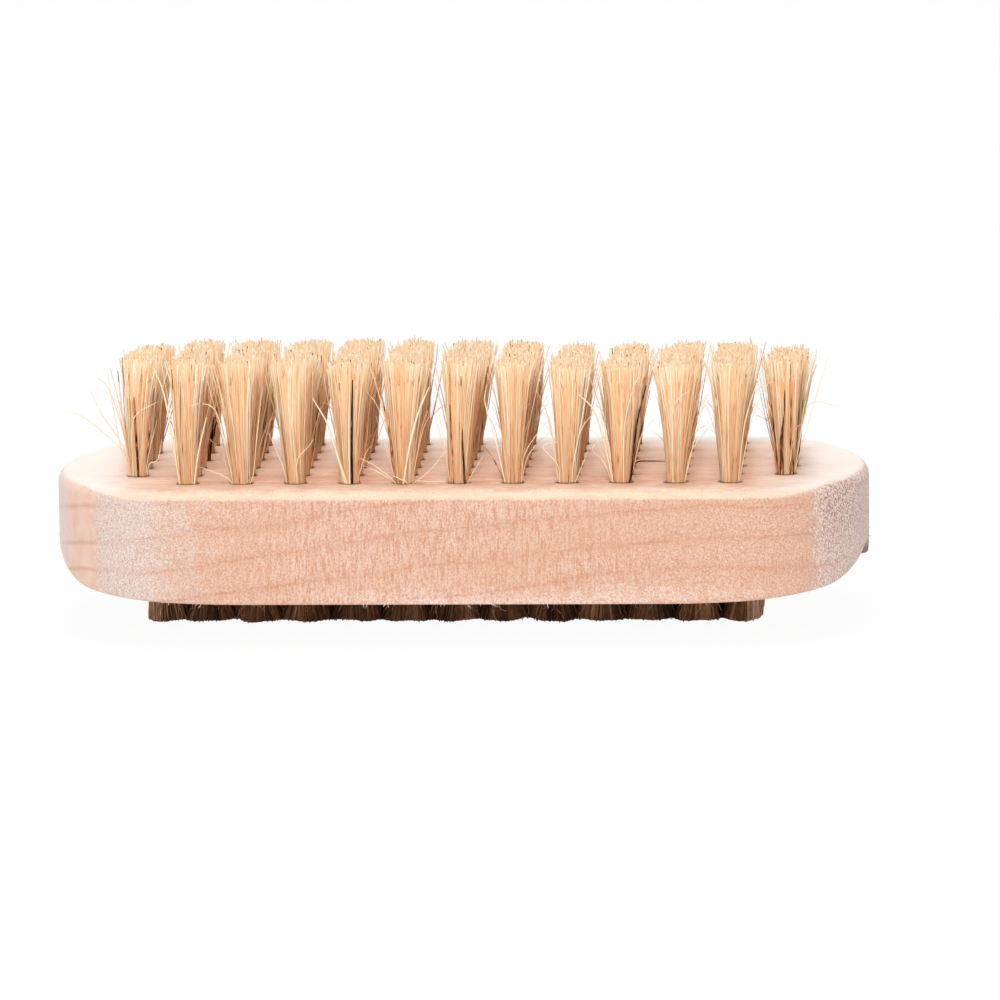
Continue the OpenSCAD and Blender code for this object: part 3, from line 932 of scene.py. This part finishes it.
# Single hairs that stand out of the tufts in view, first mostly dark ones and then mostly pale ones.
# Each line has row, column, radius, tone, and points by threes: across, in depth and above the wood,
# from the foot of the tuft. A last number is the height above which the hair is dark.
HAIRS = """
1 4 .16 .02 .3 -1 0 .45 -1.5 6 .7 -2.1 12.2
1 4 .09 .5 -.4 -.9 0 -.7 -1.6 7 -.8 -2.2 11.9 10.6
1 6 .12 .02 .8 -.9 0 .65 -1.3 4.6 .6 -.9 6.6
1 6 .1 .5 .3 -.9 0 .5 -1.5 7 .65 -2.1 12.6 11.6
1 6 .09 .12 -.5 -.9 0 -.6 -1.6 7 -.7 -1.8 9.3 8.7
1 1 .1 .55 -.8 -.8 0 -1.1 -1.5 7 -1.3 -2 13.5 10.9
1 1 .08 .4 .5 -.8 0 .8 -1.4 7 .95 -1.9 13.9 13
4 1 .2 .01 .9 -.6 0 1.25 -.8 2.4 1.7 -1 5.2
4 1 .14 .02 .95 -.5 0 1.35 -.8 2.4 1.95 -.9 4.6
4 1 .16 .4 .7 -.7 0 .9 -1.2 7 1 -1.5 12.9 9.9
4 1 .1 .6 1 -.4 0 1.9 -.8 7 2.8 -1.2 12.6 11.8
1 5 .12 .14 -.9 -.6 0 -1.5 -1.2 6 -2.3 -1.5 10.4 -3.1 -1.6 13.5
1 9 .15 .02 .9 -.7 0 1.25 -.9 1.5 1.9 -1.2 7 3 -1.5 11.3
1 9 .07 .09 1 -.4 0 1.6 -.6 3 2.3 -.8 5.9 3.4 -.9 10.7
3 9 .09 .05 .8 .6 -.3 1.3 1.5 .25 2.7 2.3 .2 4.5 2.2 .18
2 0 .17 .08 .1 -1 0 0 -1.5 5.8 -.1 -1.7 9.4
2 0 .1 .5 -.8 -.7 0 -1.4 -1.2 6 -1.9 -1.6 12.4 10.9
2 0 .09 .16 .9 -.6 0 1.6 -1.1 6 2.2 -1.5 10.4 7.9
2 12 .12 .07 -.55 -.9 0 -.55 -1.3 4.2 -.15 -1.7 6.6 0 -1.9 10
2 12 .11 .08 -.3 -.95 0 -.35 -1.4 4 -.1 -1.8 8
2 12 .09 .14 .5 -.9 0 .65 -1.5 7 .7 -2 12.9
2 12 .1 .05 .85 -.7 -.2 .85 -.9 2 .8 -.8 3.8
2 12 .1 .08 -.85 -.7 0 -1.2 -1.1 4.5 -1.6 -1.2 8.2
3 12 .15 .03 1.1 -.4 -.2 1.5 -.6 3 1.9 -.8 6.8
3 12 .11 .7 .9 -.6 0 1.9 -1.2 6.5 2.5 -1.5 12.9 12
3 12 .1 .5 -.9 -.6 0 -1.5 -1.2 6.5 -1.95 -1.6 13.2 12.2
1 4 .15 1 .05 -1.05 0 .15 -1.65 6 .35 -2.2 11.2
1 4 .2 1 -.3 -1 0 -1.2 -1.4 3.2 -2.2 -1.6 7
1 4 .14 .98 -.5 -.9 0 -1.5 -1.3 4.2 -2.3 -1.5 7.1 -4 -1.4 10.1
2 0 .07 .93 -1 .2 0 -1.75 0 3.5 -3.9 -.4 7 -5.3 -.6 10.1
2 0 .07 .95 -1 -.2 0 -1.6 -.5 2.8 -5.5 -1.2 6.7 -8 -1.6 7.9
2 0 .07 .93 -1 -.5 0 -2 -.8 4.2 -2.6 -1 8.1 -3.2 -1.2 12.5
2 0 .07 .9 -1 .4 0 -1.7 .3 5 -3.2 .2 9.9 -4.4 .2 11.2
2 0 .06 .93 -.9 .5 0 -2.2 .5 7.6 -3.2 .5 9.2 -4.7 .5 9.9
2 0 .08 1 -.5 -1 0 -.4 -1.8 5.7 .4 -2.3 7.7 2.7 -2.3 9
2 0 .08 .97 1 -.5 0 1.4 -.9 1.5 2.4 -1.1 2.1 2.9 -1.2 4.4
2 0 .07 .95 .9 -.6 0 1.3 -1 2.5 2.4 -1.3 6.6
1 1 .14 .98 -.85 -.7 0 -1.5 -1.2 5.5 -2.3 -1.5 10.6 -3.4 -1.6 13.6
1 1 .14 .98 .8 -.8 0 1.5 -1.3 4 2.5 -1.6 7.9
1 2 .07 1 -.9 -.7 0 -1.7 -1.3 5 -2.6 -1.6 8.6 -4 -1.8 9.5 -5.6 -1.8 9.2
1 2 .08 1 -.9 -.7 -.3 -1.4 -1 .7 -3 -1.2 1.5 -4.5 -1.3 2.1
1 2 .08 .97 1 -.5 0 1.45 -.8 1.4 2 -1.2 6 2.7 -1.3 11.3
1 3 .07 .95 -1 -.5 0 -1.35 -.8 2 -2.9 -1 6
1 3 .07 1 .2 -1 0 .4 -1.5 3 1.7 -1.6 4.5 2.3 -1.5 5.4
1 5 .17 1 0 -1.05 0 .6 -1.6 3.5 1.8 -2 8.1 3.2 -2.1 11.4
1 5 .11 1 .6 -1 -.2 .3 -1.4 .3 -.4 -1.5 .7 -1.2 -1.5 1.1
1 5 .06 .9 -.9 -.6 0 -1.5 -.9 2.7 -3 -1.1 7.9
1 5 .07 1 -.8 -.8 -.2 -1.3 -1.2 .6 -3 -1.4 2.1 -4.9 -1.4 3.1
1 5 .06 1 -.8 -.6 -.2 -1.4 -1 .5 -3 -1.1 1.5 -4.6 -1.1 2.2
1 5 .07 1 .9 -.7 -.2 2.1 -1 .8 3.3 -1.2 1.9 4.7 -1.3 3.7
1 5 .07 1 .9 -.8 -.3 1.5 -1.3 .4 3 -1.5 .35 4.7 -1.6 .4
1 6 .06 .9 -.9 -.6 0 -1.4 -.9 4.1 -2.3 -1.2 10.2
1 6 .07 .95 1 -.6 -.2 1.5 -.9 .9 2.9 -1.1 3.2
1 7 .06 .15 -.9 -.6 0 -1.8 -.9 2.3 -3.2 -1 4.6
1 7 .1 1 -.8 -.7 0 -1.9 -1.2 5.5 -2.9 -1.5 9.4 -2.7 -1.5 11.5
1 7 .07 .95 1 -.5 0 1.5 -.8 3.5 3.9 -1 7.1
1 7 .06 .95 1 -.3 0 1.6 -.6 2.6 2.4 -.7 4 4.2 -.8 5.8
1 8 .07 1 -.8 -.8 0 -1 -1.3 2.3 -2.6 -1.6 4.4 -.8 -1.7 5
1 8 .06 .9 -1 -.4 0 -1.7 -.8 6.7 -3 -1 10.2
1 8 .07 1 .6 -.9 0 .8 -1.4 2.3 1.8 -1.7 6.4 3.7 -1.7 8.7
1 8 .07 .95 .9 -.7 0 1.2 -1 .7 2.6 -1.2 4.1
1 9 .14 .95 -.9 -.6 0 -1.8 -1.1 4.5 -2.9 -1.3 8.4 -4.8 -1.3 10.4
1 9 .06 .95 -.9 -.7 0 -1.4 -1.2 5 -2.4 -1.4 5.6 -3.7 -1.4 6.5
1 9 .06 .95 -1 -.5 0 -2 -.9 2.6 -3.2 -1.1 4 -1.6 -1.4 5.7
1 9 .05 .9 -1 -.4 0 -1.7 -.7 5 -1.6 -.9 10.5
1 9 .05 .9 -1 -.2 0 -2 -.4 6 -2.2 -.5 10
1 9 .08 1 .3 -1 0 .5 -1.7 6.6 1.6 -2.1 11.2 2.5 -2.1 12.7
1 9 .07 .9 1 -.5 0 2.4 -.9 5.6 3.9 -1 7.4
1 10 .08 1 -.3 -1 0 -.2 -1.7 7.5 .3 -2.2 9.7 1.8 -2.3 10.9
1 10 .07 .9 1 -.4 0 1.6 -.8 3 2.4 -.9 4.6 4.5 -1 7.3
1 10 .07 .92 1 -.6 0 2.6 -1.2 6.6 3.7 -1.3 10.2 4.6 -1.3 8.1
1 11 .09 .9 .9 -.7 0 1.8 -1.3 7.2 3.8 -1.6 13.4
1 11 .07 .9 1 -.5 0 2.65 -1.1 7.8 4.5 -1.3 11.6
2 12 .07 .88 -.9 -.6 0 -1.1 -1 4.7 -2.7 -1.2 11.5
2 12 .06 .9 .9 -.5 0 2.9 -.9 7 5 -1.1 14
2 12 .06 .95 .9 -.3 0 2.2 -.7 6.8 3.3 -.9 8.4 6 -1 7.9
"""


def smooth_path(points, steps=13):
    """A smooth curve through a few points, which it passes at even steps."""
    points = np.asarray(points, float)
    ends = np.concatenate([2 * points[:1] - points[1:2], points, 2 * points[-1:] - points[-2:-1]])
    at = np.linspace(0, len(points) - 1, steps)
    k = np.minimum(at.astype(int), len(points) - 2)
    u = (at - k)[:, None]
    a, b, c, d = (ends[k + i] for i in range(4))
    return b + 0.5 * u * (c - a + u * (2 * a - 5 * b + 4 * c - d + u * (3 * (b - c) + d - a)))


def loose_hairs():
    """The hairs listed above, and thin strays that leave the tufts on all sides."""
    paths, radii, tones = [], [], []

    def hair(row, column, radius, tone, points, dark_from=math.inf):
        path = smooth_path(points)
        tones.append(np.where(path[:, 2] > dark_from, DARK_TONE, tone))
        paths.append(path + (column_x(column), row_y(row), TOP_Z))
        radii.append(radius * (1 - 0.55 * np.linspace(0, 1, len(path)) ** 3))

    for line in HAIRS.strip().split("\n"):
        row, column, radius, tone, *rest = map(float, line.split())
        whole = len(rest) // 3 * 3
        points = np.reshape(rest[:whole], (-1, 3))
        points[:, 1] *= 1 + 0.35 * np.minimum(1, points[:, 2] / 5)
        if tone > 0.8:
            radius, tone = radius * 0.8, tone - 0.14
        hair(row, column, radius, tone, points, *rest[whole:])
    for row in range(1, ROWS + 1):
        for column in row_columns(row):
            for _ in range(random.poisson(STRAYS)):
                turn = random.uniform(0, 2 * math.pi)
                start, rise = random.uniform(0.5, 6), random.uniform(1.5, 6.5)
                out = random.uniform(0.8, 2.6)
                flank = 1.15 + 1.1 * start / UPPER_LEN
                stops = [(1.0, -0.3), (0.5 + flank / 2, start * 0.5), (flank + 0.1, start),
                         (flank + out * 0.55, start + rise * 0.7), (flank + out, start + rise)]
                curl = turn + np.cumsum(random.normal(0, 0.05, len(stops)))
                points = [(r * math.cos(c), r * math.sin(c), h) for (r, h), c in zip(stops, curl)]
                tone = random.choice((0.6, 0.7, 0.82, 0.14), p=(0.3, 0.4, 0.25, 0.05))
                hair(row, column, random.uniform(0.035, 0.06), tone, points)
    paths = np.array(paths)
    up = np.zeros(paths.shape)
    up[:, :, 2] = 0.4
    along = np.clip((paths[:, :, 2] - TOP_Z) / UPPER_LEN, 0.6, 1)
    mesh = fibre_mesh("loose_hairs", paths, radii, tones, along, up)
    show("loose_hairs", mesh, PALE, "pale_bristle")


# Places along the front of the lower edge where torn fibres hang out
FRONT_TEARS = (-29.0, -28.6, -10.2, -9.8, -7.7, -7.4, -1.4, -1.0, 1.6, 4.3, 10.6)
EDGE_TEARS, RIDGE_TEARS = 150, 110
RIDGE_X, RIDGE_Z = (40.2, 42.6), (8.2, 16.2)


def edge_fuzz():
    """Torn wood fibres along the lower edge of the block and on the ridge at its right end."""
    outline = plan(0)
    ahead = np.roll(outline, -1, 0) - outline
    paths, radii = [], []

    def fibre(place, out, drop, slide, radius):
        normal = np.array([slide[1], -slide[0], 0.0])
        start = place - 0.15 * normal
        middle = place + normal * out * 0.6 - (0, 0, 0.4 * drop)
        end = place + normal * out - (0, 0, drop) + np.array([*slide, 0]) * random.normal(0, 0.25)
        paths.append(smooth_path([start, middle, end], 5))
        radii.append(np.linspace(radius, radius * 0.6, 5))

    for _ in range(EDGE_TEARS):
        k = random.integers(len(outline))
        spot = outline[k] + random.random() * ahead[k]
        place = np.array([*spot, underside(*spot) + random.uniform(0.1, 0.7)])
        fibre(place, random.uniform(0.05, 0.22), random.uniform(-0.1, 0.45), unit(ahead[k]),
              random.uniform(0.02, 0.04))
    for x in FRONT_TEARS:
        place = np.array([x, -BLOCK_W / 2, underside(x) + 0.25])
        fibre(place, random.uniform(0.08, 0.2), random.uniform(0.3, 0.6), (1.0, 0.0), 0.038)
    ridge = outline[(outline[:, 0] > RIDGE_X[0]) & (outline[:, 0] < RIDGE_X[1])]
    for _ in range(RIDGE_TEARS):
        k = random.integers(len(ridge))
        toward = unit(ridge[k] - (END_CX, 0))
        place = np.array([*ridge[k], random.uniform(*RIDGE_Z)])
        fibre(place, random.uniform(0.06, 0.2), random.uniform(-0.4, 0.4), (-toward[1], toward[0]),
              random.uniform(0.02, 0.045))
    paths = np.array(paths)
    level = np.full(paths.shape[:2], 0.5)
    mesh = fibre_mesh("edge_fuzz", paths, radii, level, level, np.zeros(paths.shape))
    show("edge_fuzz", mesh, TORN_FIBRE, "beech_wood")


block()
for number in range(1, ROWS + 1):
    upper_row(number)
for number in range(1, UNDER_ROWS + 1):
    under_row(number)
loose_hairs()
edge_fuzz()
for node, thing in frame["nodes"].items():
    if "anchors" in node:
        thing.data.materials.clear()
        thing.data.materials.append(WIRE)


# Floor, light and camera

FLOOR_HALF, FLOOR_DROP = 4.0, 0.0002
FLOOR_GREY, FLOOR_GLOW = 0.9, 0.95
WHITE = (1.0, 1.0, 1.0, 1.0)


def floor():
    """A pale floor that takes the shadow of the brush, and that the camera sees nearly white."""
    grey = (FLOOR_GREY, FLOOR_GREY, FLOOR_GREY, 1.0)
    g = Material("floor", {"Base Color": grey, "Roughness": 0.9, "Specular IOR Level": 0.0})
    glow = g.node("Emission", {"Color": WHITE, "Strength": 1.0}).outputs[0]
    share = g.seen() * FLOOR_GLOW
    mixed = g.node("MixShader", {0: share, 1: g.shader.outputs[0], 2: glow})
    g.put(g.tree.nodes["Material Output"].inputs["Surface"], mixed.outputs[0])
    mesh = bpy.data.meshes.new("floor")
    corners = [(x * FLOOR_HALF, y * FLOOR_HALF, 0) for x, y in ((-1, -1), (1, -1), (1, 1), (-1, 1))]
    mesh.from_pydata(corners, [], [(0, 1, 2, 3)])
    mesh.materials.append(g.material)
    piece = bpy.data.objects.new("floor", mesh)
    piece.location.z = -FLOOR_DROP
    link(piece)


def world(level):
    """Light from all round at the level given, in front of a backdrop that the camera sees white."""
    made = bpy.data.worlds.new("studio")
    made.use_nodes = True
    g = Graph(made.node_tree)
    g.tree.nodes.clear()
    light, backdrop = (g.node("Background", {"Color": WHITE, "Strength": strength}).outputs[0]
                       for strength in (level, 1.0))
    mixed = g.node("MixShader", {0: g.seen(), 1: light, 2: backdrop})
    g.node("OutputWorld", {"Surface": mixed.outputs[0]})
    bpy.context.scene.world = made


def lamp(name, place, aim, watts, size=0.4):
    light = bpy.data.lights.new(name, "AREA")
    light.shape = "SQUARE"
    light.size = size
    light.energy = watts
    thing = bpy.data.objects.new(name, light)
    thing.location = place
    way = Vector(aim) - Vector(place)
    thing.rotation_euler = way.to_track_quat("-Z", "Y").to_euler()
    link(thing)


def camera():
    """The photograph's view: nearly square on, 9.5 degrees above the horizon, 3.5 from the right."""
    azimuth, elevation, roll = 0.0608, 0.1652, 0.0133
    distance, aim = 0.97017, (0.00419, 0.0, 0.01327)
    data = bpy.data.cameras.new("camera")
    data.sensor_width = 36.0
    data.lens = 304.37
    data.clip_start, data.clip_end = 0.01, 50.0
    thing = bpy.data.objects.new("camera", data)
    place = Matrix.Translation(aim)
    for angle, axis in ((azimuth, "Z"), (math.pi / 2 - elevation, "X"), (-roll, "Z")):
        place @= Matrix.Rotation(angle, 4, axis)
    thing.matrix_world = place @ Matrix.Translation((0, 0, distance))
    link(thing)
    bpy.context.scene.camera = thing


floor()
world(0.42)
lamp("overhead", (0.0, -0.05, 1.2), (0, 0, 0.015), 5.3)
lamp("front", (0.06, -1.06, 0.58), (0, 0, 0.015), 6.3)
lamp("back", (-0.1, 0.8, 0.75), (0, 0, 0.02), 1.2)
lamp("left", (-1.05, -0.3, 0.35), (0, 0, 0.015), 1.1)
camera()
bpy.context.scene.view_settings.view_transform = "Standard"
